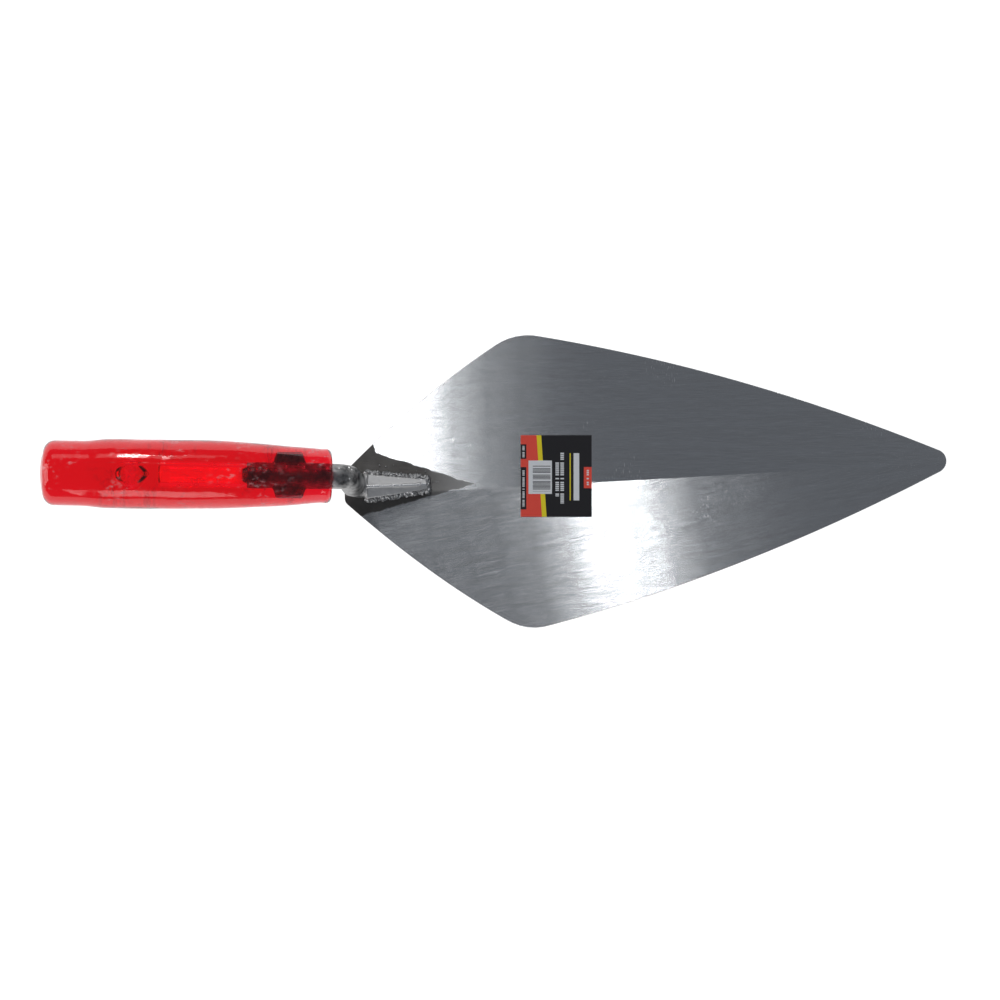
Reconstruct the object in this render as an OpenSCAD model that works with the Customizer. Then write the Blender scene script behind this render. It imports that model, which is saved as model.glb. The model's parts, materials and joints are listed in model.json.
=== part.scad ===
// Brick trowel: a ground steel blade, a forged shank that is welded to it, and a
// moulded plastic handle that is driven on to the shank's spike.
// Millimetres. +X runs from the heel of the blade to its point, +Y is the left, +Z is up.
// The origin is on the flat underside, on the centre line, between the shoulders.

/* [Blade] */
// Length of the blade from heel to point
blade_l = 300; // [225:5:360]
// Distance from the heel to the shoulders
shoulder_l = 88; // [70:1:110]
// Half width of the blade at its left shoulder
left_w = 70.5; // [56:0.5:88]
// Half width of the blade at its right shoulder
right_w = 74.5; // [56:0.5:90]
// How much the shoulders are rounded off
shoulder_round = 8; // [2:0.5:14]
// Half width of the heel on the left, before its corners are rounded
heel_left_w = 6; // [5.5:0.2:12]
// Half width of the heel on the right, before its corners are rounded
heel_right_w = 8.6; // [5.5:0.2:12]
// Radius of the heel's corners
heel_r = 4; // [2:0.5:6]
// Outward bow of each heel edge
heel_bow = 4.2; // [0:0.2:6]
// Outward bow of each long edge
side_bow = 7; // [0:0.2:10]
// Half width of the point before it is rounded
point_w = 3.8; // [2:0.2:8]
// Distance of the top face's ridge from the centre line, to the right, at the shoulders
ridge_off = 4.4; // [0:0.1:8]
// Turn of the ridge from the centre line, in degrees
ridge_turn = 0.9; // [0:0.1:1.5]
// Thickness on the ridge at the heel
heel_t = 2.6; // [2:0.1:4]
// Thickness on the ridge at the point
point_t = 1.3; // [1.1:0.1:1.8]
// Thickness at the shoulder edges
edge_t = 1.1; // [0.8:0.1:1.5]

/* [Shank] */
// Diameter of the shank's round bar
bar_d = 12; // [9:0.5:16]
// Distance from the heel to the axis of the upright bar
riser_l = 5; // [2:0.5:10]
// Inside radius of the lower bend
low_bend_inside = 1; // [0.5:0.5:8]
// Inside radius of the upper bend, which ends as a shoulder at the handle's mouth
top_bend_inside = 3; // [1:0.5:8]
// Height of the bar's axis at the handle's mouth, above the blade's underside
lift = 45; // [37:1:60]
// Rise of the handle towards its butt, in degrees
pitch = 7; // [0:0.5:18]
// Lean of the upright bar to the left, in degrees
lean = 6.8; // [0:0.1:10]
// Turn of the shank about the upright bar, in degrees
yaw = 2.1; // [0:0.1:6]
// Distance of the shank's foot from the centre line, to the right
foot_off = 1.3; // [0:0.1:3]
// Length of the foot, from the lower bend to its toe
foot_l = 29; // [20:1:50]
// Width of the foot at its heel end
foot_heel_w = 12; // [10:0.5:18]
// Width of the foot at its toe
foot_toe_w = 5; // [3:0.5:9]
// Height of the foot's ridge at its heel end
foot_heel_h = 10; // [7:0.5:14]
// Height of the foot's ridge at its toe
foot_toe_h = 3; // [2:0.5:5]
// Fall from the foot's ridge to its sides
foot_roof_drop = 2.2; // [1:0.2:4]

/* [Spike] */
// Diameter of the spike, and of the bore that it fills
spike_d = 8.2; // [6:0.1:10]
// Length of the spike in the handle
spike_l = 42.5; // [36:0.5:60]
// Length of the blunt cone at the spike's end
spike_nose_l = 2; // [1:0.5:5]
// Diameter of the spike's flat end
spike_nose_d = 5.6; // [3:0.2:5.8]
// Distance from the handle's mouth to the ears
ear_from_mouth = 11; // [8:0.5:14]
// Length of the ears where they leave the spike
ear_root_l = 19.5; // [14:0.5:22]
// Length of the ears at their tips
ear_tip_l = 12; // [6:0.5:13]
// Span over both ears
ear_span = 15; // [11:0.5:18]
// Thickness of the ears
ear_t = 3; // [2:0.5:5]

/* [Handle] */
// Length of the handle
handle_l = 137; // [126:1:170]
// Diameter of the belly
belly_d = 33.2; // [30:0.2:42]
// Diameter at the mouth, before its edge is rounded
mouth_d = 26; // [21:0.2:28]
// Radius of the mouth's edge
mouth_r = 3; // [1:0.5:4]
// Distance from the mouth to the belly
neck_l = 62; // [40:1:66]
// Length of the belly
belly_l = 44; // [20:1:50]
// Length of the taper behind the belly
rear_l = 12; // [4:1:16]
// Diameter at the butt
butt_d = 31; // [26:0.2:33]
// Radius of the butt's rim
butt_rim_r = 5.5; // [2:0.5:7]
// Height of the dome at the butt
dome_h = 1.2; // [0.6:0.2:4]
// Depth of the bore from the mouth
bore_l = 81; // [62:0.5:84]
// Diameter of the void that the plastic leaves as it shrinks in the thick butt
void_d = 10.4; // [4:0.2:12]
// Length of that void
void_l = 17; // [6:0.5:18]
// Distance from the end of the bore to the void
void_gap = 5; // [2:0.5:8]

/* [Welds] */
// Radius of the two beads along the foot
side_bead_r = 2.6; // [1.6:0.1:4]
// Radius of the bead across the foot's toe
toe_bead_r = 2.4; // [1.6:0.1:4]

/* [Label] */
// Size of the label along the blade
label_w = 35.3; // [20:0.5:50]
// Size of the label across the blade
label_l = 40.5; // [20:0.5:60]
// Thickness of the label
label_t = 0.2; // [0.1:0.05:0.3]
// Distance from the heel to the middle of the label
label_from_heel = 105.5; // [95:0.5:130]
// Distance of the label's middle from the centre line, to the left
label_y = 0.2; // [-5:0.1:5]
// Turn of the label on the blade, in degrees
label_turn = -2.3; // [-10:0.1:10]

/* [Hidden] */

$fn = 64;
// Facets round a weld bead
bead_facets = 24;
// Straight steps in the long edges, the heel edges, the small arcs and the handle's tapers
side_steps = 48;
heel_steps = 24;
arc_steps = 8;
swell_steps = 14;
// Larger than the whole trowel, for the blocks that cut other shapes
far = 1000;
// How far the spike reaches into the bend that it grows from
spike_root = 1;

heel_x = -shoulder_l;
point_x = blade_l - shoulder_l;

// The top face of the blade falls from heel to point and from the ridge to both edges
ridge_slope = (heel_t - point_t) / blade_l;
ridge_mid_t = point_t + point_x * ridge_slope;
cross_slope = (ridge_mid_t - edge_t) / max(left_w + ridge_off, right_w - ridge_off);

bar_r = bar_d / 2;
low_bend_r = bar_r + low_bend_inside;
top_bend_r = bar_r + top_bend_inside;
riser_x = heel_x + riser_l;
riser_base_z = top_z(riser_x, -foot_off);
foot_heel_x = riser_x + low_bend_r;
foot_toe_x = foot_heel_x + foot_l;
foot_cross_slope = foot_roof_drop / (foot_heel_w / 2);

// The handle's mouth and the upper bend's centre, from where the upright bar meets the blade
mouth_z = (lift - riser_base_z) / cos(lean);
mouth_x = -top_bend_r * (1 - sin(pitch));
top_bend_z = mouth_z - top_bend_r * cos(pitch);

belly_r = belly_d / 2;
butt_r = butt_d / 2;
rear_z = neck_l + belly_l;
rim_z = handle_l - dome_h - butt_rim_r;
dome_w = butt_r - butt_rim_r;
dome_r = (dome_w * dome_w + dome_h * dome_h) / (2 * dome_h);
label_x = heel_x + label_from_heel;

// Height of the blade's top face at x and y
function top_z(x, y) =
    let (
        along = x * cos(ridge_turn) + (y + ridge_off) * sin(ridge_turn),
        across = (y + ridge_off) * cos(ridge_turn) - x * sin(ridge_turn)
    )
    ridge_mid_t - along * ridge_slope - abs(across) * cross_slope;

// The smaller of two lengths, with the corner between them rounded off by k
function soft_min(a, b, k) = min(a, b) - pow(max(k - abs(a - b), 0), 2) / (4 * k);

// From a to b as t goes from 0 to 1, bowed out by bow half way
function bowed(a, b, bow, t) = a + (b - a) * t + 4 * bow * t * (1 - t);

// From a to b as t goes from 0 to 1, level at both ends, sooner for a lower power
function swell(a, b, t, power) = a + (b - a) * sin(90 * pow(t, power));

function arc(x, y, r, from, to) =
    [for (i = [0:arc_steps]) let (a = from + (to - from) * i / arc_steps) [x + r * cos(a), y + r * sin(a)]];

// Half width at x of a side with the given half widths at its shoulder and heel
function half_width(x, shoulder_w, heel_w) =
    let (corner_w = shoulder_w + shoulder_round / 4)
    soft_min(
        bowed(heel_w, corner_w, heel_bow, (x - heel_x) / shoulder_l),
        bowed(corner_w, point_w, side_bow, x / point_x),
        shoulder_round
    );

// One side of the blade's outline, from the middle of the heel to the tip of the point
function side_outline(shoulder_w, heel_w) =
    let (
        corner_w = shoulder_w + shoulder_round / 4,
        heel_slope = (corner_w - heel_w + 4 * heel_bow) / shoulder_l,
        heel_angle = atan(heel_slope),
        heel_arc_y = heel_w + heel_r * (heel_slope - 1 / cos(heel_angle)),
        heel_arc_end = heel_x + heel_r * (1 - sin(heel_angle)),
        point_slope = (corner_w - point_w + 4 * side_bow) / point_x,
        point_angle = 90 - atan(point_slope),
        point_r = point_w / (1 / sin(point_angle) - point_slope),
        point_arc_start = point_x - point_r * (1 - cos(point_angle))
    )
    concat(
        arc(heel_x + heel_r, heel_arc_y, heel_r, 180, 90 + heel_angle),
        [for (i = [1:heel_steps]) let (x = heel_arc_end - heel_arc_end * i / heel_steps)
            [x, half_width(x, shoulder_w, heel_w)]],
        [for (i = [1:side_steps - 1]) let (x = point_arc_start * i / side_steps)
            [x, half_width(x, shoulder_w, heel_w)]],
        arc(point_x - point_r, 0, point_r, point_angle, 0)
    );

module outline() let (left = side_outline(left_w, heel_left_w), right = side_outline(right_w, heel_right_w))
    polygon(concat(left, [for (i = [len(right) - 2:-1:0]) [right[i][0], -right[i][1]]]));

// All space below two planes that meet in a ridge through [x, 0, z]. Along x the ridge
// falls by slope, and to both sides the planes fall by cross.
module below_ridge(x, z, slope, cross) translate([x, 0, z]) intersection_for(side = [-1, 1])
    rotate([-side * atan(cross * cos(atan(slope))), atan(slope), 0])
        translate([-far / 2, -far / 2, -far]) cube(far);

module below_blade_top(raise = 0) translate([0, -ridge_off, 0]) rotate([0, 0, ridge_turn])
    below_ridge(0, ridge_mid_t + raise, ridge_slope, cross_slope);

module blade() color([0.62, 0.64, 0.67]) intersection() {
    linear_extrude(heel_t) outline();
    below_blade_top();
}

// Frame of the upright bar, with its origin on top of the blade
module at_riser() translate([riser_x, -foot_off, riser_base_z]) rotate([-lean, 0, -yaw]) children();

// Frame of the handle: +Z runs from its mouth to its butt, and +X is up
module at_mouth() at_riser() translate([mouth_x, 0, mouth_z]) rotate([0, pitch - 90, 0]) children();

// A bend of the bar in the XZ plane, about its centre, through angle degrees
module bend(r, from, angle) rotate([90, -from, 0])
    rotate_extrude(angle = angle) translate([r, 0]) circle(bar_r);

module neck() {
    translate([low_bend_r, 0, bar_r + low_bend_r]) bend(low_bend_r, 180, 90);
    translate([0, 0, bar_r + low_bend_r]) cylinder(r = bar_r, h = top_bend_z - bar_r - low_bend_r);
    translate([-top_bend_r, 0, top_bend_z]) bend(top_bend_r, 0, 90 - pitch);
}

module foot() translate([0, -foot_off, 0]) intersection() {
    linear_extrude(riser_base_z + foot_heel_h) polygon([
        [foot_heel_x - low_bend_inside, -foot_heel_w / 2], [foot_toe_x, -foot_toe_w / 2],
        [foot_toe_x, foot_toe_w / 2], [foot_heel_x - low_bend_inside, foot_heel_w / 2]
    ]);
    below_ridge(foot_heel_x, riser_base_z + foot_heel_h, (foot_heel_h - foot_toe_h) / foot_l, foot_cross_slope);
}

module ears() let (slant = (ear_root_l - ear_tip_l) / 2)
    translate([-ear_t / 2, 0, ear_from_mouth]) rotate([90, 0, 90]) linear_extrude(ear_t) polygon([
        [0, 0], [ear_span / 2, slant], [ear_span / 2, slant + ear_tip_l],
        [0, ear_root_l], [-ear_span / 2, slant + ear_tip_l], [-ear_span / 2, slant]
    ]);

// The spike starts inside the bend, so that both are one piece
module spike() {
    translate([0, 0, -spike_root]) cylinder(d = spike_d, h = spike_root + spike_l - spike_nose_l);
    translate([0, 0, spike_l - spike_nose_l])
        cylinder(d1 = spike_d, d2 = spike_nose_d, h = spike_nose_l);
    ears();
}

module shank() color([0.36, 0.37, 0.39]) {
    difference() {
        union() {
            foot();
            at_riser() neck();
        }
        below_blade_top();
    }
    at_mouth() spike();
}

// A rod with round ends from a to b
module rod(a, b, r) hull() {
    translate(a) sphere(r, $fn = bead_facets);
    translate(b) sphere(r, $fn = bead_facets);
}

// One corner of the foot, on top of the blade
function foot_corner(x, y) = [x, y - foot_off, top_z(x, y - foot_off)];

module side_rod(side) rod(
    foot_corner(foot_heel_x, side * foot_heel_w / 2),
    foot_corner(foot_toe_x, side * foot_toe_w / 2),
    side_bead_r
);

// Cuts a bead back to the blade and to the shank that it joins
module bead() color([0.30, 0.30, 0.31]) difference() {
    children();
    below_blade_top();
    foot();
    at_riser() neck();
}

module toe_rod() rod(
    foot_corner(foot_toe_x, -foot_toe_w / 2),
    foot_corner(foot_toe_x, foot_toe_w / 2),
    toe_bead_r
);

module side_bead(side) difference() {
    bead() side_rod(side);
    toe_rod();
}

module weld_left() side_bead(1);

module weld_right() side_bead(-1);

module weld_toe() bead() toe_rod();

// The handle's outline, as radius and distance from the mouth
function handle_profile() = concat(
    [[0, 0]],
    arc(mouth_d / 2 - mouth_r, mouth_r, mouth_r, -90, 0),
    [for (i = [1:swell_steps]) let (t = i / swell_steps)
        [swell(mouth_d / 2, belly_r, t, 1.05), mouth_r + (neck_l - mouth_r) * t]],
    [for (i = [0:swell_steps]) let (t = i / swell_steps)
        [swell(belly_r, butt_r, t, 1.6), rear_z + rear_l * t]],
    arc(dome_w, rim_z, butt_rim_r, 0, 90),
    arc(0, handle_l - dome_r, dome_r, 90 - asin(dome_w / dome_r), 90)
);

// The void's outline, pointed at both ends
function void_profile() =
    [for (i = [0:swell_steps]) let (t = i / swell_steps) [sin(180 * t) * void_d / 2, t * void_l]];

module handle() color([0.80, 0.05, 0.10]) at_mouth() difference() {
    rotate_extrude() polygon(handle_profile());
    translate([0, 0, -spike_root]) cylinder(d = spike_d, h = spike_root + bore_l);
    ears();
    translate([0, 0, bore_l + void_gap]) rotate_extrude() polygon(void_profile());
}

module label() color([0.12, 0.12, 0.13]) difference() {
    intersection() {
        translate([label_x, label_y, 0]) rotate([0, 0, label_turn])
            translate([-label_w / 2, -label_l / 2]) cube([label_w, label_l, heel_t + 1]);
        below_blade_top(label_t);
    }
    below_blade_top();
}

blade();
shank();
weld_left();
weld_right();
weld_toe();
handle();
label();
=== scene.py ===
# %% [markdown]
# # A brick trowel
# A bricklayer's trowel is a ground steel blade, a forged and bent shank that is welded
# to it, and a plastic handle that is pressed on to the shank's spike. The real sizes and
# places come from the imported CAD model. This lesson gives each piece its true finish.

import json
import math
import random

import bpy
from mathutils import Matrix, Vector


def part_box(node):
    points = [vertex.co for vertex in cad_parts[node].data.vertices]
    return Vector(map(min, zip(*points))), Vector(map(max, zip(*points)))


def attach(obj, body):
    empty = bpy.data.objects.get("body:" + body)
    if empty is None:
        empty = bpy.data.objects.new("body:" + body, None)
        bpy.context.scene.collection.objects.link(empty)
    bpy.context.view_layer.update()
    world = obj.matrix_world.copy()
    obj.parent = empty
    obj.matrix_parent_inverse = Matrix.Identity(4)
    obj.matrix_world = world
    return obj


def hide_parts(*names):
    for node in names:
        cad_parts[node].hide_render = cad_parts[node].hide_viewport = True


MM = 0.001
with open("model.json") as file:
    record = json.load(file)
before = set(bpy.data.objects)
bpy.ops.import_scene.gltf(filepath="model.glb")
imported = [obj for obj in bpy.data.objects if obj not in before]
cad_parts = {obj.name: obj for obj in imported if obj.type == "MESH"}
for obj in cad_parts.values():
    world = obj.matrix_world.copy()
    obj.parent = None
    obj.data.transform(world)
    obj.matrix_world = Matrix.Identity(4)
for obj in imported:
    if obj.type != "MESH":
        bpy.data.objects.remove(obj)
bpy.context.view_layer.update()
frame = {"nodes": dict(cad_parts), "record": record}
nodes = frame["nodes"]
print("CAD nodes:", sorted(nodes))

# %% [markdown]
# The camera hangs straight above the trowel, as on a copy stand. It is placed from the
# blade's heel and turned a little, so that the blade points to the right and slightly up.

# %% Camera
blade_low, blade_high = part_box("blade")
camera_height = 1.1
view_width = 0.49834
forward_of_heel = 77.1 * MM
right_of_centre = 10.6 * MM
camera_turn = math.radians(-2.33)

bpy.ops.object.camera_add(
    location=(blade_low.x + forward_of_heel, -right_of_centre, camera_height),
    rotation=(0, 0, camera_turn),
)
camera = bpy.context.object
camera.name = "camera"
camera.data.sensor_width = 36
camera.data.lens = camera.data.sensor_width * camera_height / view_width
bpy.context.scene.camera = camera
print("lens in mm:", round(camera.data.lens, 1))

# %% [markdown]
# Every material is a Principled shader with a few nodes in front of it. This small class
# keeps the code that adds and links the nodes in one place.


# %% Helpers for materials
class Finish:
    """One material, with short ways to add nodes to it."""

    def __init__(self, name, **sockets):
        self.material = bpy.data.materials.new(name)
        self.material.use_nodes = True
        self.tree = self.material.node_tree
        self.shader = self.tree.nodes["Principled BSDF"]
        for socket, value in sockets.items():
            self.feed(self.shader, socket.replace("_", " ").title().replace("Ior", "IOR"), value)

    def feed(self, node, socket, value):
        socket = node.inputs[socket]
        if isinstance(value, bpy.types.NodeSocket):
            self.tree.links.new(value, socket)
        else:
            socket.default_value = value

    def add(self, kind, sockets, output=0, **settings):
        node = self.tree.nodes.new(kind)
        for name, value in settings.items():
            setattr(node, name, value)
        for socket, value in sockets.items():
            self.feed(node, socket, value)
        return node.outputs[output]

    def math(self, operation, a, b=0.0):
        return self.add("ShaderNodeMath", {0: a, 1: b}, operation=operation)

    def place(self):
        return self.add("ShaderNodeTexCoord", {}, "Object")

    def uv(self, name):
        return self.add("ShaderNodeUVMap", {}, uv_map=name)

    def stretch(self, vector, scale, shift=(0, 0, 0)):
        return self.add("ShaderNodeMapping", {"Vector": vector, "Scale": scale, "Location": shift})

    def noise(self, vector, scale, detail=2.0, roughness=0.5):
        sockets = {"Vector": vector, "Scale": scale, "Detail": detail, "Roughness": roughness}
        return self.add("ShaderNodeTexNoise", sockets)

    def span(self, value, low, high, to_low=0.0, to_high=1.0):
        sockets = {"Value": value, "From Min": low, "From Max": high}
        sockets.update({"To Min": to_low, "To Max": to_high})
        return self.add("ShaderNodeMapRange", sockets)

    def mix(self, factor, a, b):
        node = self.tree.nodes.new("ShaderNodeMix")
        node.data_type = "RGBA"
        for index, value in ((0, factor), (6, a), (7, b)):
            self.feed(node, index, value)
        return node.outputs[2]

    def bump(self, height, strength, distance):
        sockets = {"Height": height, "Strength": strength, "Distance": distance}
        return self.add("ShaderNodeBump", sockets)

    def split(self, vector):
        node = self.tree.nodes.new("ShaderNodeSeparateXYZ")
        self.feed(node, "Vector", vector)
        return node.outputs


def grey(level, warmth=0.0):
    return (level * (1 + warmth), level, level * (1 - warmth), 1)


print("a warm mid grey is", grey(0.5, 0.04))

# %% [markdown]
# The next helpers work on whole pieces. A CAD mesh comes as loose triangles, and most
# tools need one joined skin, so the copy of a CAD node is merged first. Modifiers are
# applied at once, so that each piece is a plain mesh in the end.

# %% Helpers for pieces
def nothing_selected():
    if bpy.context.object and bpy.context.object.mode != "OBJECT":
        bpy.ops.object.mode_set(mode="OBJECT")
    bpy.ops.object.select_all(action="DESELECT")


def only(piece):
    nothing_selected()
    piece.select_set(True)
    bpy.context.view_layer.objects.active = piece


def copy_of(node, name):
    """A copy of a CAD node's mesh with its loose triangles merged, in edit mode."""
    nothing_selected()
    piece = bpy.data.objects.new(name, nodes[node].data.copy())
    piece.data.name = name
    piece.data.materials.clear()
    bpy.context.scene.collection.objects.link(piece)
    only(piece)
    bpy.ops.object.mode_set(mode="EDIT")
    bpy.ops.mesh.select_all(action="SELECT")
    bpy.ops.mesh.remove_doubles(threshold=0.002 * MM)
    return piece


def select_where(piece, test):
    """Selects the vertices of a piece in edit mode that pass the test."""
    bpy.ops.mesh.select_mode(type="VERT")
    bpy.ops.mesh.select_all(action="DESELECT")
    bpy.ops.object.mode_set(mode="OBJECT")
    for vertex in piece.data.vertices:
        vertex.select = test(vertex.co)
    bpy.ops.object.mode_set(mode="EDIT")


def modify(piece, kind, **settings):
    only(piece)
    modifier = piece.modifiers.new(kind.title(), kind)
    for name, value in settings.items():
        setattr(modifier, name, value)
    bpy.ops.object.modifier_apply(modifier=modifier.name)


def finish_piece(piece, node, finish, smooth_angle=40):
    """Smooths a piece, gives it its finish and lets it stand for its CAD node."""
    only(piece)
    bpy.ops.object.shade_smooth_by_angle(angle=math.radians(smooth_angle))
    piece.data.materials.clear()
    piece.data.materials.append(finish.material)
    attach(piece, "root")
    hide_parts(node)
    print(piece.name, "has", len(piece.data.polygons), "faces")


# %% [markdown]
# ## The blade
# The blade is one plate of rolled steel, about 2.6 mm thick at the heel and 1.3 mm at the
# point. Both halves of its top are ground, and they meet in a low ridge. The CAD shape is
# right, so a merged copy of it is the start. Its long edges are only broken, not sharpened,
# which is a narrow bevel.

# %% Blade shape
blade = copy_of("blade", "ground_blade")
bpy.ops.mesh.dissolve_limited(angle_limit=math.radians(0.3))
edge_break = 0.25 * MM


def on_rim(a, b):
    """An edge that runs round the outline, and not up the wall or along the ridge."""
    run = (b - a).normalized()
    return abs(run.z) < 0.5


bpy.ops.mesh.select_all(action="DESELECT")
bpy.ops.object.mode_set(mode="OBJECT")
wall_edges = set()
for face in blade.data.polygons:
    if abs(face.normal.z) < 0.3:
        for key in face.edge_keys:
            a, b = (blade.data.vertices[i].co for i in key)
            if on_rim(a, b):
                wall_edges.add(key)
for edge in blade.data.edges:
    edge.select = edge.key in wall_edges
bpy.ops.object.mode_set(mode="EDIT")
bpy.ops.mesh.select_mode(type="EDGE")
bpy.ops.mesh.bevel(offset=edge_break, segments=2, affect="EDGES")
print("bevelled", len(wall_edges), "edges of the rim")

# Cuts across and along keep the faces compact, so that the shading over them is even
blade_l = blade_high.x - blade_low.x
strips = 24
lane_mm = 13
for i in range(1, strips):
    bpy.ops.mesh.select_all(action="SELECT")
    bpy.ops.mesh.bisect(plane_co=(blade_low.x + blade_l * i / strips, 0, 0), plane_no=(1, 0, 0))
for i in range(-4, 5):
    bpy.ops.mesh.select_all(action="SELECT")
    bpy.ops.mesh.bisect(plane_co=(0, (lane_mm * i + 1) * MM, 0), plane_no=(0, 1, 0))
bpy.ops.object.mode_set(mode="OBJECT")

# %% [markdown]
# Grinding leaves fine parallel lines, and they run another way on each half. A UV map
# whose u follows the lines carries that direction, for the streaks and for the
# stretched highlights, which in metal lie across the lines.

# %% Directions of the grinding
ridge_off = 4.4 * MM
ridge_turn = math.radians(0.9)
left_lines = math.radians(-1.9)
right_lines = math.radians(9)


def left_of_ridge(x, y):
    return y > -ridge_off + math.tan(ridge_turn) * x


brush = blade.data.uv_layers.new(name="brush")
for face in blade.data.polygons:
    turn = left_lines if left_of_ridge(face.center.x, face.center.y) else right_lines
    for corner in face.loop_indices:
        x, y, z = blade.data.vertices[blade.data.loops[corner].vertex_index].co
        along = x * math.cos(turn) + y * math.sin(turn)
        across = y * math.cos(turn) - x * math.sin(turn) + z
        brush.data[corner].uv = (along, across)
print("the brush map covers", len(brush.data), "corners of faces")

# %% [markdown]
# ## The blade's finish
# Ground steel is bright metal with fine lines in it. The lines are noise that is stretched
# along the brush map: thin for the grain, and long and broad for slow changes of tone.
# Highlights are stretched as well, across the lines.

# %% Grain of the ground steel
ground = Finish("ground_steel", metallic=1.0, anisotropic=1.0, anisotropic_rotation=0.25)
grain_per_m = 2600
lines = ground.uv("brush")
fine = ground.noise(ground.stretch(lines, (110, grain_per_m, 1)), 1.0, 4.0, 0.6)
broad = ground.noise(ground.stretch(lines, (25, 420, 1), (3, 7, 0)), 1.0, 3.0)
patches = ground.noise(ground.place(), 22.0, 3.0)
print("the grain is about", round(1 / grain_per_m / MM, 2), "mm wide")

# %% [markdown]
# Rolled steel has a dark skin of scale, and grinding takes it off. The grinder can't come
# close to the shank, so scale is left there, between two straight edges. Each edge starts
# so far out at the heel and comes in by its slope towards the point. On the left, the
# first 20 mm from the heel keep their scale as well. Noise makes the edges ragged, and a
# short step across each one gives the mask.

# %% Where scale is left
left_start, left_slope = 21.6 * MM, -0.352
right_start, right_slope = -16.6 * MM, 0.235
heel_end, heel_slant = 20 * MM, 0.25
fine_rag = 1.6 * MM
coarse_rag = 2.0 * MM

heel = ground.stretch(ground.place(), (1, 1, 1), (-blade_low.x, 0, 0))
x, y, _ = ground.split(heel)
fine_off = ground.math("MULTIPLY", ground.noise(heel, 420.0, 3.0), fine_rag)
coarse_off = ground.math("MULTIPLY", ground.noise(heel, 150.0, 1.0), coarse_rag)
coarse_off = ground.math("SUBTRACT", coarse_off, coarse_rag / 2)
ragged_y = ground.math("ADD", ground.math("ADD", y, fine_off), coarse_off)
left_edge = ground.math("ADD", ground.math("MULTIPLY", x, left_slope), left_start)
inside_left = ground.span(ground.math("SUBTRACT", left_edge, ragged_y), -0.25 * MM, 0.35 * MM)
right_edge = ground.math("ADD", ground.math("MULTIPLY", x, right_slope), right_start)
inside_right = ground.span(ground.math("SUBTRACT", ragged_y, right_edge), -0.3 * MM, 0.4 * MM)
slanted = ground.math("ADD", x, ground.math("MULTIPLY", ragged_y, heel_slant))
near_heel = ground.span(slanted, heel_end + 0.6 * MM, heel_end)
scale_zone = ground.math("MULTIPLY", ground.math("MAXIMUM", inside_left, near_heel), inside_right)
print("the two edges start", round((left_start - right_start) / MM, 1), "mm apart")

# %% [markdown]
# The tones follow from that mask: bright steel outside it, and dark scale inside it, which
# thins out towards its tip. Scale is also much duller than ground steel.

# %% Tones of the blade
steel = ground.mix(ground.span(broad, 0.3, 0.7), grey(0.53, -0.02), grey(0.58, -0.03))
steel = ground.mix(ground.span(fine, 0.35, 0.65, 0.0, 0.5), steel, grey(0.42, -0.02))
scale = ground.mix(ground.noise(heel, 160.0, 4.0), grey(0.105, 0.05), grey(0.2, 0.03))
scale = ground.mix(ground.span(x, 38 * MM, 62 * MM), scale, grey(0.4))

# Short scratches from use, in a few places only
worn_here = ground.span(ground.noise(ground.place(), 30.0, 1.0), 0.6, 0.66)
scratch = ground.noise(ground.stretch(ground.place(), (2600, 320, 1)), 1.0, 2.0)
scratch = ground.math("MULTIPLY", ground.span(scratch, 0.64, 0.68), worn_here)
steel = ground.mix(scratch, steel, grey(0.95))
ground.feed(ground.shader, "Base Color", ground.mix(scale_zone, steel, scale))

ground_roughness = 0.2
scale_roughness = 0.5
rough = ground.math("ADD", ground_roughness, ground.span(patches, 0.35, 0.7, 0.0, 0.04))
rougher = ground.math("MULTIPLY", scale_zone, scale_roughness - ground_roughness)
ground.feed(ground.shader, "Roughness", ground.math("ADD", rough, rougher))
print("roughness is", ground_roughness, "on ground steel and", scale_roughness, "on scale")

# %% [markdown]
# Seen close, a ground face is a row of tiny grooves, and light comes back from their two
# sides. So a lamp that stands low on one side shows as a bright band right across the
# face. Real grooves would need millions of faces. Instead a normal map tips the surface
# to one side or the other of the lines. Such a map holds each part of a direction as a
# number from 0 to 1.

# %% Grooves of the grinding
groove_lean = 0.55
half = (0.5, 0.5, 0.5)
groove = ground.noise(ground.stretch(lines, (60, 48000, 1), (5, 1, 0)), 1.0, 2.0, 0.6)
lean = ground.span(groove, 0.46, 0.54, -groove_lean, groove_lean)
lean = ground.math("MULTIPLY", lean, ground.span(scale_zone, 0, 1, 1.0, 0.4))
facing = ground.add("ShaderNodeCombineXYZ", {"X": 0.0, "Y": lean, "Z": 1.0})
facing = ground.add("ShaderNodeVectorMath", {0: facing}, operation="NORMALIZE")
packed = {0: facing, 1: half, 2: half}
colour = ground.add("ShaderNodeVectorMath", packed, operation="MULTIPLY_ADD")
leaning = ground.add("ShaderNodeNormalMap", {"Color": colour}, uv_map="brush")
ground.feed(ground.shader, "Normal", leaning)
tangent = ground.add("ShaderNodeTangent", {}, direction_type="UV_MAP", uv_map="brush")
ground.feed(ground.shader, "Tangent", tangent)
finish_piece(blade, "blade", ground, 0.5)

# %% [markdown]
# ## The shank
# The shank is one forging. Its foot lies on the blade, and its round bar bends up and
# back into the handle. A hammered piece has no sharp creases, so a merged copy of the
# CAD shape is remeshed in small cells and smoothed, which rounds every meeting of two
# surfaces, and the hammer leaves it a little uneven.

# %% Shank shape
shank = copy_of("shank", "forged_shank")
bpy.ops.object.mode_set(mode="OBJECT")


def top_of(piece, x, y):
    """The highest point of a piece at x and y."""
    hit, place, _, _ = piece.ray_cast(Vector((x, y, 0.02)), Vector((0, 0, -1)))
    return place if hit else Vector((x, y, 0))


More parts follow.
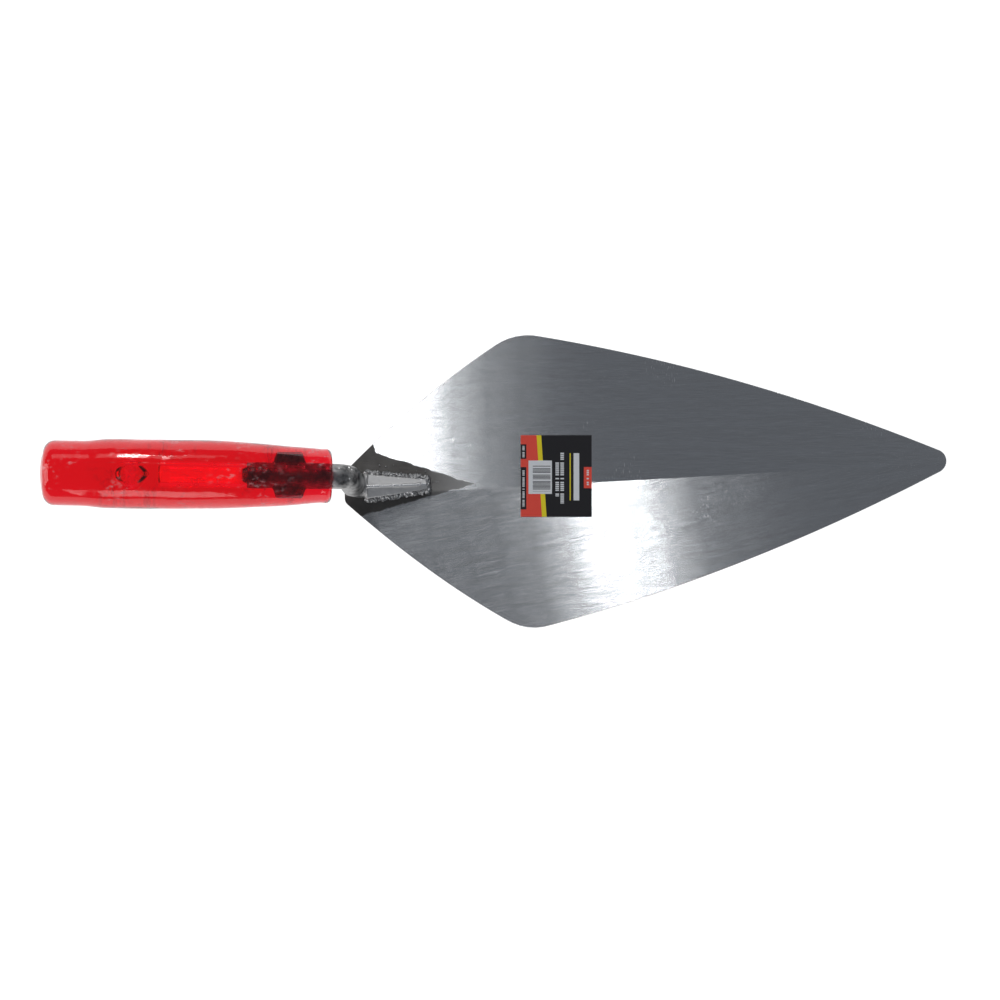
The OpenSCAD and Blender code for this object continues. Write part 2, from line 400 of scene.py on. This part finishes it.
# The two dies of the forge leave a thin raised line along the crest of the foot
crest_y = -1.3 * MM
crest_start = 11.8 * MM
crest_end = 38 * MM
crest_r = 0.8 * MM
crest_sink = 0.2 * MM
crest_heel = top_of(shank, blade_low.x + crest_start, crest_y)
crest_toe = top_of(shank, blade_low.x + crest_end, crest_y)
crest = crest_toe - crest_heel
bpy.ops.object.mode_set(mode="EDIT")
bpy.ops.mesh.primitive_cylinder_add(
    vertices=16, radius=crest_r, depth=crest.length,
    location=(crest_heel + crest_toe) / 2 - Vector((0, 0, crest_sink)),
    rotation=crest.to_track_quat("Z", "Y").to_euler(),
)
bpy.ops.object.mode_set(mode="OBJECT")
modify(shank, "REMESH", mode="VOXEL", voxel_size=0.32 * MM)
modify(shank, "SMOOTH", factor=0.5, iterations=3)
hammer = bpy.data.textures.new("hammer_marks", "CLOUDS")
hammer.noise_scale = 5 * MM
modify(shank, "DISPLACE", texture=hammer, strength=0.35 * MM, mid_level=0.5)
print("the raised line is", round(crest.length / MM, 1), "mm long")

# %% [markdown]
# ## The shank's finish
# The bar keeps the grey skin of the forge, and painted shade makes it darker from the bend to the
# foot's heel. The foot was cleaned for the weld, so it is bright, and its raised line is smoother
# and carries a painted highlight. The distance from the heel tells bar and foot apart, since both
# are one piece.

# %% Shank finish
forged = Finish("forged_steel", metallic=1.0)
spot = forged.place()
mottle = forged.noise(spot, 260.0, 5.0, 0.6)
grit = forged.noise(spot, 1400.0, 3.0)
pointed = forged.add("ShaderNodeNewGeometry", {}, "Pointiness")

# Painted shade: the skin is made darkest from the bend to the foot's heel, where the fold lies in
# shade
along, across, _ = forged.split(forged.stretch(spot, (1, 1, 1), (-blade_low.x, -crest_y, 0)))
bar_skin_and_bend_shade = forged.mix(forged.span(along, -1 * MM, 2 * MM), grey(0.15, -0.05), grey(0.06, -0.02))
on_foot = forged.span(along, 10 * MM, 12.5 * MM)
tone = forged.mix(on_foot, bar_skin_and_bend_shade, grey(0.62, 0.01))
dull = forged.mix(forged.span(mottle, 0.35, 0.65, 0.0, 0.45), tone, grey(0.75, 0.01))
# Painted highlight: a pale line is laid along the crest of the foot, which is also made smoother.
# Sharp edges are paled as wear.
crest_highlight = forged.span(forged.math("ABSOLUTE", across), 0.75 * MM, 0.35 * MM)
crest_highlight = forged.math("MULTIPLY", crest_highlight, forged.span(along, 11.5 * MM, 13 * MM))
worn_edges_and_crest_highlight = forged.math("MAXIMUM", forged.span(pointed, 0.52, 0.60), crest_highlight)
forged.feed(forged.shader, "Base Color", forged.mix(worn_edges_and_crest_highlight, dull, grey(0.92)))
rough = forged.span(mottle, 0.3, 0.7, 0.36, 0.5)
rough = forged.math("SUBTRACT", rough, forged.math("MULTIPLY", crest_highlight, 0.14))
forged.feed(forged.shader, "Roughness", rough)
forged.feed(forged.shader, "Normal", forged.bump(forged.math("ADD", mottle, grit), 0.5, 0.08 * MM))
finish_piece(shank, "shank", forged, 60)

# %% [markdown]
# ## The welds
# An arc weld is a row of frozen pools, each overlapping the last. So a bead is made of
# many small balls in a row, no two the same, melted into one skin by a fine remesh.
# Drops of spatter lie beside it. The roots of the beads stand in the blade, so they are
# cut off flat there.

# %% Helpers for the welds
weld_cell = 0.2 * MM
weld_root = 1.2 * MM
crumbs = bpy.data.textures.new("weld_crumbs", "CLOUDS")
crumbs.noise_scale = 0.9 * MM
crumbs.noise_depth = 1
spatter_drops = 9
spatter_reach = 3.2


def blade_top(x, y):
    """Height of the blade's top at x and y."""
    hit, place, _, _ = blade.ray_cast(Vector((x, y, 0.1)), Vector((0, 0, -1)))
    return place.z if hit else 0.0


def on_blade(x, y):
    return Vector((x, y, blade_top(x, y)))


def bead(name, start, end, radius, pools, seed):
    """A weld bead on the blade from start to end, with drops of spatter beside it."""
    chance = random.Random(seed)
    nothing_selected()
    for i in range(pools):
        place = start.lerp(end, i / (pools - 1))
        size = radius * chance.uniform(0.8, 1.12)
        place = place + Vector((chance.uniform(-0.3, 0.3), chance.uniform(-0.35, 0.35), 0)) * MM
        if i == 0:
            bpy.ops.mesh.primitive_ico_sphere_add(subdivisions=3, radius=size, location=place)
            piece = bpy.context.object
            piece.name = piece.data.name = name
            bpy.ops.object.transform_apply(location=True, rotation=True, scale=True)
            bpy.ops.object.mode_set(mode="EDIT")
        else:
            bpy.ops.mesh.select_all(action="DESELECT")
            bpy.ops.mesh.primitive_ico_sphere_add(subdivisions=3, radius=size, location=place)
            bpy.ops.transform.resize(value=(0.8, 1, chance.uniform(0.75, 1)), center_override=place)
    bpy.ops.object.mode_set(mode="OBJECT")
    modify(piece, "REMESH", mode="VOXEL", voxel_size=weld_cell)
    modify(piece, "DISPLACE", texture=crumbs, strength=1.3 * MM, mid_level=0.45)
    modify(piece, "SMOOTH", factor=0.5, iterations=1)
    bpy.ops.object.mode_set(mode="EDIT")
    bpy.ops.mesh.select_all(action="SELECT")
    bpy.ops.mesh.bisect(
        plane_co=(0, 0, weld_root), plane_no=(0, 0, 1), use_fill=True, clear_inner=True
    )
    bpy.ops.object.mode_set(mode="OBJECT")
    side = (end - start).cross(Vector((0, 0, 1))).normalized()
    only(piece)
    bpy.ops.object.mode_set(mode="EDIT")
    for i in range(spatter_drops):
        beside = start.lerp(end, chance.random())
        place = beside + side * chance.uniform(-1, 1) * spatter_reach * radius
        drop = chance.uniform(0.18, 0.42) * MM
        place.z = blade_top(place.x, place.y) + 0.3 * drop
        bpy.ops.mesh.select_all(action="DESELECT")
        bpy.ops.mesh.primitive_ico_sphere_add(subdivisions=2, radius=drop, location=place)
    bpy.ops.object.mode_set(mode="OBJECT")
    return piece


foot_middle = blade_low.x + (crest_start + crest_end) / 2
print("blade under the foot:", round(blade_top(foot_middle, 0) / MM, 2), "mm thick")

# %% [markdown]
# Two long beads run along the foot and a short one closes its toe. Each one keeps to the
# box that the CAD model gives it, so its ends are set in from that box by about its radius.

# %% Weld shapes
bead_r = 2.3 * MM
side_inset = 2.6 * MM
toe_inset = 2.4 * MM
side_pools = 26
toe_pools = 6
left_low, left_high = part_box("weld_left")
right_low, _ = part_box("weld_right")
toe_low, toe_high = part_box("weld_toe")
heel_x = left_low.x + side_inset
toe_x = toe_low.x + toe_inset
heel_left = on_blade(heel_x, left_high.y - side_inset)
heel_right = on_blade(heel_x, right_low.y + side_inset)
toe_left = on_blade(toe_x, toe_high.y - toe_inset)
toe_right = on_blade(toe_x, toe_low.y + toe_inset)
weld_left = bead("weld_left_bead", heel_left, toe_left, bead_r, side_pools, 11)
weld_right = bead("weld_right_bead", heel_right, toe_right, bead_r, side_pools, 23)
weld_toe = bead("weld_toe_bead", toe_right, toe_left, bead_r, toe_pools, 37)
print("the left bead is", round((toe_left - heel_left).length / MM, 1), "mm long")

# %% [markdown]
# Weld metal is bright on its knobs and dull in its hollows, where slag is left. One noise
# makes both the tones and the small bumps, so that they agree.

# %% Weld finish
welded = Finish("weld_metal", metallic=1.0)
spot = welded.place()
crust = welded.noise(spot, 900.0, 4.0, 0.6)
pool = welded.noise(spot, 300.0, 2.0)
tone = welded.mix(welded.span(crust, 0.4, 0.65), grey(0.22), grey(0.7))
welded.feed(welded.shader, "Base Color", tone)
welded.feed(welded.shader, "Roughness", welded.span(pool, 0.3, 0.7, 0.28, 0.5))
welded.feed(welded.shader, "Normal", welded.bump(crust, 0.4, 0.08 * MM))
finish_piece(weld_left, "weld_left", welded, 60)
finish_piece(weld_right, "weld_right", welded, 60)
finish_piece(weld_toe, "weld_toe", welded, 60)

# %% [markdown]
# ## The handle
# The handle is one moulding of clear red plastic. It is turned here ring by ring, as a
# circle that is extruded along the axis and scaled at each step. The blind bore is part
# of the same skin, so that light bends at it as it does in the real one. The spike is a
# hair thicker than the bore round it, because it was pressed in and touches all over.

# %% Sizes of the handle
barrel = next(m for m in frame["record"]["mounts"] if m["name"] == "handle_barrel")
axis = Vector(barrel["axis"]).normalized()
belly_middle = Vector(barrel["pos_m"])
belly_r = barrel["dims"]["r_mm"] * MM
belly_l = barrel["dims"]["length_mm"] * MM
reach = [(v.co - belly_middle).dot(axis) for v in nodes["handle"].data.vertices]
mouth = belly_middle + axis * min(reach)
handle_l = max(reach) - min(reach)
belly_start = -min(reach) - belly_l / 2
mouth_r = 13.2 * MM
mouth_edge_r = 3 * MM
butt_r = 15.5 * MM
rim_r = 5.5 * MM
dome_h = 1.2 * MM
rear_l = 12 * MM
crown = 0.35 * MM
crown_l = 25 * MM
neck_power = 1.05
rear_power = 1.6
neck_steps, belly_steps, rear_steps = 30, 22, 12
edge_steps, rim_steps, dome_steps = 8, 10, 8
spike_l = 42.5 * MM
spike_r = 4.1 * MM
bore_l = 81 * MM
ring_points = 96
print("handle is", round(handle_l / MM, 1), "mm long")

# %% [markdown]
# The outside is a list of rings from the mouth to the butt: a rounded mouth, a neck that
# swells, a belly that is a little fuller in its middle, a short rear, a rounded rim and a
# low dome. Formulas give the rings, so that each part can be set by itself.

# %% Rings of the outside

def crowned(r, z):
    """A ring's radius and place. The belly is a little fuller in its middle."""
    off = (z - belly_start - belly_l / 2) / crown_l
    return r - crown * (1 - math.exp(-off * off)), z


def outer_rings():
    """Radius and distance from the mouth of each ring of the outside."""
    rings = [(spike_r + (mouth_r - mouth_edge_r - spike_r) * i / 4, 0) for i in range(1, 5)]
    for i in range(1, edge_steps + 1):
        a = math.radians(90 * i / edge_steps)
        rings.append((mouth_r - mouth_edge_r * (1 - math.sin(a)), mouth_edge_r * (1 - math.cos(a))))
    for i in range(1, neck_steps + 1):
        t = i / neck_steps
        rise = math.sin(math.pi / 2 * t**neck_power)
        z = mouth_edge_r + (belly_start - mouth_edge_r) * t
        rings.append(crowned(mouth_r + (belly_r - mouth_r) * rise, z))
    for i in range(1, belly_steps + 1):
        rings.append(crowned(belly_r, belly_start + belly_l * i / belly_steps))
    rear = belly_start + belly_l
    for i in range(1, rear_steps + 1):
        t = i / rear_steps
        rise = math.sin(math.pi / 2 * t**rear_power)
        rings.append(crowned(belly_r + (butt_r + crown - belly_r) * rise, rear + rear_l * t))
    rim = handle_l - dome_h - rim_r
    for i in range(0, rim_steps + 1):
        a = math.radians(90 * i / rim_steps)
        rings.append((butt_r - rim_r * (1 - math.cos(a)), rim + rim_r * math.sin(a)))
    flat = butt_r - rim_r
    dome_r = (flat**2 + dome_h**2) / (2 * dome_h)
    for i in range(1, dome_steps):
        a = math.asin(flat / dome_r) * (1 - i / dome_steps)
        rings.append((dome_r * math.sin(a), handle_l - dome_r * (1 - math.cos(a))))
    return rings


print("the outside has", len(outer_rings()), "rings")

# %% [markdown]
# The skin starts as a small circle at the mouth. It grows outwards, along the outside and
# to the butt. Then the same circle grows inwards as the bore.

# %% Skin of the handle
def grow(rings, radius, height):
    """Extrudes the selected ring through a list of rings and closes the last one."""
    for r, z in rings:
        bpy.ops.mesh.extrude_region_move(TRANSFORM_OT_translate={"value": (0, 0, z - height)})
        bpy.ops.transform.resize(value=(r / radius, r / radius, 1), center_override=(0, 0, z))
        radius, height = r, z
    bpy.ops.mesh.merge(type="CENTER")


nothing_selected()
press_fit = 0.12 * MM
grip_r = spike_r - press_fit
bpy.ops.mesh.primitive_circle_add(vertices=ring_points, radius=grip_r, location=(0, 0, 0))
handle = bpy.context.object
handle.name = handle.data.name = "plastic_handle"
bpy.ops.object.mode_set(mode="EDIT")
bpy.ops.mesh.select_all(action="SELECT")
grow(outer_rings(), grip_r, 0)
select_where(handle, lambda co: co.z < 0.001 * MM and co.xy.length < grip_r * 1.01)
bore_rings = [(grip_r, spike_l * i / 6) for i in range(1, 7)]
bore_rings += [(spike_r, spike_l + 0.3 * MM)]
bore_rings += [(spike_r, spike_l + (bore_l - spike_l) * i / 8) for i in range(1, 9)]

# The end of the bore is rounded, as the core pin was
bore_rings += [(spike_r * 0.94, bore_l + 0.4 * MM)]
bore_rings += [(spike_r * 0.75, bore_l + 1.0 * MM)]
bore_rings += [(spike_r * 0.4, bore_l + 1.5 * MM)]
grow(bore_rings, grip_r, 0)
bpy.ops.mesh.select_all(action="SELECT")
bpy.ops.mesh.normals_make_consistent(inside=False)
print("the bore is", round(2 * spike_r / MM, 1), "mm wide past the spike")

# %% [markdown]
# The mould opens along a plane through the axis, and leaves a thin raised line on both
# sides. Two cuts on each side of that plane give the line its own narrow strip of faces,
# which is then lifted. As the plastic cools, its outside also sinks in a little, unevenly.

# %% Parting line
line_half_w = 0.16 * MM
line_lift = 0.05 * MM
outside_r = 9.6 * MM
for offset in (-2.2 * line_half_w, -line_half_w, line_half_w, 2.2 * line_half_w):
    bpy.ops.mesh.select_all(action="SELECT")
    bpy.ops.mesh.bisect(plane_co=(0, offset, 0), plane_no=(0, 1, 0))
select_where(
    handle, lambda co: abs(co.y) < line_half_w * 1.2 and abs(co.x) > outside_r and co.z > 1 * MM
)
bpy.ops.transform.shrink_fatten(value=line_lift)
select_where(handle, lambda co: co.xy.length > outside_r)
bpy.ops.object.vertex_group_assign_new()
dents = bpy.data.textures.new("handle_dents", "CLOUDS")
dents.noise_scale = 26 * MM
dents.noise_depth = 1
modify(handle, "DISPLACE", texture=dents, strength=0.9 * MM, mid_level=0.62, vertex_group="Group")
print("the parting line is", round(2 * line_half_w / MM, 2), "mm wide")

# %% [markdown]
# Thick plastic shrinks as it cools. The skin is hard by then, so the middle pulls apart
# and leaves a closed void, here behind the bore. Its skin faces into the void.

# %% Void in the butt
void_l = 17 * MM
void_r = 5.2 * MM
void_start = bore_l + 5 * MM
void_steps = 20
nothing_selected()


def void_ring(t):
    return (void_r * math.sin(math.pi * t) ** 0.9, void_start + void_l * t)


first_r, first_z = void_ring(1 / void_steps)
bpy.ops.mesh.primitive_circle_add(vertices=40, radius=first_r, location=(0, 0, first_z))
void = bpy.context.object
void.name = "void"
bpy.ops.object.transform_apply(location=True, rotation=True, scale=True)
bpy.ops.object.mode_set(mode="EDIT")
bpy.ops.mesh.select_all(action="SELECT")
grow([void_ring(i / void_steps) for i in range(2, void_steps)], first_r, first_z)
select_where(void, lambda co: abs(co.z - first_z) < 0.01 * MM)
bpy.ops.mesh.extrude_region_move(TRANSFORM_OT_translate={"value": (0, 0, void_start - first_z)})
bpy.ops.mesh.merge(type="CENTER")
bpy.ops.mesh.select_all(action="SELECT")
bpy.ops.mesh.normals_make_consistent(inside=True)
bpy.ops.object.mode_set(mode="OBJECT")
only(handle)
void.select_set(True)
bpy.ops.object.join()
print("the void is", round(void_l / MM, 1), "mm long")

# %% [markdown]
# The handle was turned upright at the origin. Now it is moved to the mouth's place, laid
# along the CAD axis, and rolled until its parting line lies where the real one does.

# %% Handle in its place
parting_roll = math.radians(16.5)
up = (Vector((0, 0, 1)) - axis * axis.z).normalized()
up.rotate(Matrix.Rotation(parting_roll, 3, axis))
side = axis.cross(up)
handle.matrix_world = Matrix.Translation(mouth) @ Matrix((up, side, axis)).transposed().to_4x4()
only(handle)
bpy.ops.object.transform_apply(location=True, rotation=True, scale=True)
print("the handle's mouth is at", [round(c, 4) for c in mouth])

# %% [markdown]
# ## The handle's finish
# The plastic is clear and red all through. So its shader lets light pass, and a volume
# inside takes green and blue out of the light, more of it where the plastic is thicker.
# The skin is scuffed in places, which makes it frosted and pale.

# %% Handle finish
plastic = Finish("red_plastic", ior=1.49, transmission_weight=1.0)
clear_red = (1.0, 0.4, 0.42, 1)
frosted_red = (1.0, 0.75, 0.75, 1)
painted_glow_red = (1.0, 0.08, 0.02, 1)
painted_bore_glow = 0.12
light_lost_per_m = 235
spot = plastic.place()
ripple = plastic.noise(spot, 70.0, 2.0)
scuff = plastic.noise(plastic.stretch(spot, (260, 420, 420)), 1.0, 4.0, 0.65)
plastic.feed(plastic.shader, "Roughness", plastic.span(scuff, 0.5, 0.75, 0.04, 0.3))
patch = plastic.span(plastic.noise(spot, 45.0, 1.0), 0.5, 0.6)
frost = plastic.math("MULTIPLY", plastic.span(scuff, 0.54, 0.64), patch)
clear = plastic.span(frost, 0, 1, 1.0, 0.72)
plastic.feed(plastic.shader, "Transmission Weight", clear)

# Painted light: the wall of the bore is given a weak red glow, standing for light that is caught in
# the plastic and comes out there
from_mouth = plastic.stretch(spot, (1, 1, 1), tuple(-mouth))
both = {0: from_mouth, 1: tuple(axis)}
arm = plastic.add("ShaderNodeVectorMath", both, operation="CROSS_PRODUCT")
off_axis = plastic.add("ShaderNodeVectorMath", {0: arm}, 1, operation="LENGTH")
along = plastic.add("ShaderNodeVectorMath", both, 1, operation="DOT_PRODUCT")
near_axis = plastic.span(off_axis, spike_r + 1.5 * MM, spike_r + 0.5 * MM)
past_spike = plastic.span(along, spike_l, spike_l + 3 * MM)
before_end = plastic.span(along, bore_l + 3 * MM, bore_l + 2 * MM)
in_bore = plastic.math("MULTIPLY", near_axis, plastic.math("MULTIPLY", past_spike, before_end))
plastic.feed(plastic.shader, "Emission Strength", plastic.math("MULTIPLY", in_bore, painted_bore_glow))
plastic.feed(plastic.shader, "Emission Color", painted_glow_red)

# Scuffed places are frosted. The rest is clear, and colours the light that goes through.
plastic.feed(plastic.shader, "Base Color", plastic.mix(frost, clear_red, frosted_red))
plastic.feed(plastic.shader, "Normal", plastic.bump(ripple, 0.25, 0.6 * MM))
absorb = plastic.tree.nodes.new("ShaderNodeVolumeAbsorption")
absorb.inputs["Color"].default_value = (0.925, 0.0, 0.35, 1)
absorb.inputs["Density"].default_value = light_lost_per_m
output = plastic.tree.nodes["Material Output"]
plastic.tree.links.new(absorb.outputs["Volume"], output.inputs["Volume"])
finish_piece(handle, "handle", plastic, 35)

# %% [markdown]
# ## The label
# The label is a printed film that is stuck across the ridge. A fine grid is laid over
# the blade and pressed down on to it, and then it gets its thickness. Its UV map, which
# the grid has from the start, carries the print.

# %% Label shape
label_low, label_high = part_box("label")
label_middle = (label_low + label_high) / 2
label_w = 35.3 * MM
label_l = 40.5 * MM
label_turn = math.radians(-2.3)
film = 0.12 * MM
nothing_selected()
bpy.ops.mesh.primitive_grid_add(x_subdivisions=60, y_subdivisions=70, size=1)
label = bpy.context.object
label.name = label.data.name = "printed_label"
label.matrix_world = (
    Matrix.Translation((label_middle.x, label_middle.y, 10 * MM))
    @ Matrix.Rotation(label_turn, 4, "Z")
    @ Matrix.Diagonal((label_w, label_l, 1, 1))
)
bpy.ops.object.transform_apply(location=True, rotation=True, scale=True)
modify(
    label, "SHRINKWRAP", target=blade, wrap_method="PROJECT", use_project_z=True,
    use_negative_direction=True, use_positive_direction=False,
    offset=film, wrap_mode="ABOVE_SURFACE",
)
modify(label, "SOLIDIFY", thickness=film, offset=-1)
print("the label is", round(label_w / MM, 1), "by", round(label_l / MM, 1), "mm")

# %% [markdown]
# ## The label's print
# The print is made of boxes in the label's own map, with u across it and v along it. It
# needs no picture and stays sharp from near. Every box is a product of four comparisons.

# %% Helpers for the print
printed = Finish("printed_film", roughness=0.32, coat_weight=0.3)
u, v, _ = printed.split(printed.uv("UVMap"))


def inside(value, low, high):
    """1 where the value lies between low and high, which may be sockets."""
    return printed.math(
        "MULTIPLY", printed.math("GREATER_THAN", value, low), printed.math("LESS_THAN", value, high)
    )


def block(u0, u1, v0, v1, slant=0.0):
    """1 in a box of the print. Its ends in u may lean with v."""
    leaning = printed.math("ADD", u, printed.math("MULTIPLY", v, slant))
    return printed.math("MULTIPLY", inside(leaning, u0, u1), inside(v, v0, v1))


BLACK = (0.012, 0.011, 0.013, 1)
RED = (0.90, 0.085, 0.055, 1)
YELLOW = (0.93, 0.76, 0.02, 1)
WHITE = (0.80, 0.82, 0.84, 1)
print("inks:", BLACK, RED, YELLOW, WHITE)

# %% [markdown]
# The ground of the label comes first, and each block of colour lies over the ones before
# it. Plain dashes stand for the bar code and for the lines of print.

# %% Label print
band_slant = 0.076
art = BLACK
for box, colour in (
    ((-1, 0.30, -1, 2, band_slant), RED),
    ((0.30, 0.365, -1, 2, band_slant), YELLOW),
    ((0.0, 0.08, 0.71, 0.89), BLACK),
    ((0.0, 0.08, 0.09, 0.61), BLACK),
    ((0.11, 0.44, 0.28, 0.69), WHITE),
    ((0.89, 1.0, 0.35, 0.61), RED),
    ((0.745, 0.825, 0.20, 0.78), WHITE),
    ((0.69, 0.705, 0.20, 0.78), YELLOW),
):
    art = printed.mix(block(*box), art, colour)


def dashes(cells, gap):
    """Cells along v, about 4 in 5 of them filled, with gaps between them."""
    scaled = printed.math("MULTIPLY", v, cells)
    cell = printed.math("FLOOR", scaled)
    chance = printed.add("ShaderNodeTexWhiteNoise", {"W": cell}, noise_dimensions="1D")
    filled = printed.math("GREATER_THAN", chance, 0.2)
    past_gap = printed.math("GREATER_THAN", printed.math("FRACT", scaled), gap)
    return printed.math("MULTIPLY", filled, past_gap)


# How many cells along v, how much of each cell is gap, where they are, and their colour
for cells, gap, box, colour in (
    (64, 0.45, (0.17, 0.42, 0.31, 0.66), BLACK),
    (42, 0.3, (0.56, 0.61, 0.16, 0.80), WHITE),
    (42, 0.3, (0.49, 0.54, 0.25, 0.69), WHITE),
    (42, 0.3, (0.93, 0.96, 0.38, 0.58), WHITE),
    (58, 0.3, (0.025, 0.055, 0.73, 0.87), WHITE),
    (58, 0.3, (0.025, 0.055, 0.12, 0.58), WHITE),
):
    art = printed.mix(printed.math("MULTIPLY", dashes(cells, gap), block(*box)), art, colour)
printed.feed(printed.shader, "Base Color", art)
finish_piece(label, "label", printed, 40)

# %% [markdown]
# ## Studio
# The trowel lies on a bright white table. The table gives off light itself, so that it
# stays white whatever the lamps do.

# %% Floor
nothing_selected()
bpy.ops.mesh.primitive_plane_add(size=6, location=(0, 0, -0.2 * MM))
floor = bpy.context.object
floor.name = "floor"
bpy.ops.object.transform_apply(location=True, rotation=True, scale=True)
table = Finish("white_table", base_color=grey(0.3), roughness=0.8)
table.feed(table.shader, "Emission Color", (1, 1, 1, 1))
table.feed(table.shader, "Emission Strength", 1.0)
floor.data.materials.append(table.material)
print("the table is", round(floor.dimensions.x, 1), "m wide")

# %% [markdown]
# A narrow, bright softbox stands low on the left side of the trowel and makes one bright
# band on each ground half. Two weak ones beside it give the bands their faint tails. One
# more lights the left face of the foot, one stands on the right side, and a large one
# stands behind the butt of the handle.

# %% Lights
look_at = Vector((blade_low.x + forward_of_heel, 0, 0))


def softbox(name, tilt, side_step, distance, width, height, brightness):
    """A lamp over the trowel, tilt degrees off the upright towards +Y, in metres."""
    tilt = math.radians(tilt)
    place = look_at + Vector((side_step, distance * math.sin(tilt), distance * math.cos(tilt)))
    aim = (look_at + Vector((side_step, 0, 0)) - place).to_track_quat("-Z", "Y").to_euler()
    bpy.ops.object.light_add(type="AREA", location=place, rotation=aim)
    lamp = bpy.context.object
    lamp.name = name
    lamp.data.shape = "RECTANGLE"
    lamp.data.size = width
    lamp.data.size_y = height
    lamp.data.energy = brightness * math.pi * width * height


softbox("far_softbox", 60, -0.085, 1.65, 0.1, 0.32, 33)
softbox("far_halo", 58, -0.235, 1.7, 0.34, 0.45, 1.1)
softbox("far_glow", 60, 0.0, 1.65, 0.2, 0.32, 0.9)
softbox("foot_softbox", 42, 0.78, 1.55, 0.2, 0.25, 7)
softbox("near_softbox", -68, -0.23, 1.5, 0.36, 0.6, 2.4)
end_place = (-1.5, 0.0, 0.7)
end_turn = (0, math.radians(-65), 0)
end_brightness = 2.8
bpy.ops.object.light_add(type="AREA", location=end_place, rotation=end_turn)
end_light = bpy.context.object
end_light.name = "end_softbox"
end_light.data.size = 1.3
end_light.data.energy = end_brightness * math.pi * end_light.data.size**2
world = bpy.data.worlds.new("studio")
bpy.context.scene.world = world
world.use_nodes = True
world.node_tree.nodes["Background"].inputs["Color"].default_value = (0.19, 0.20, 0.22, 1)
bpy.context.scene.view_settings.view_transform = "Standard"
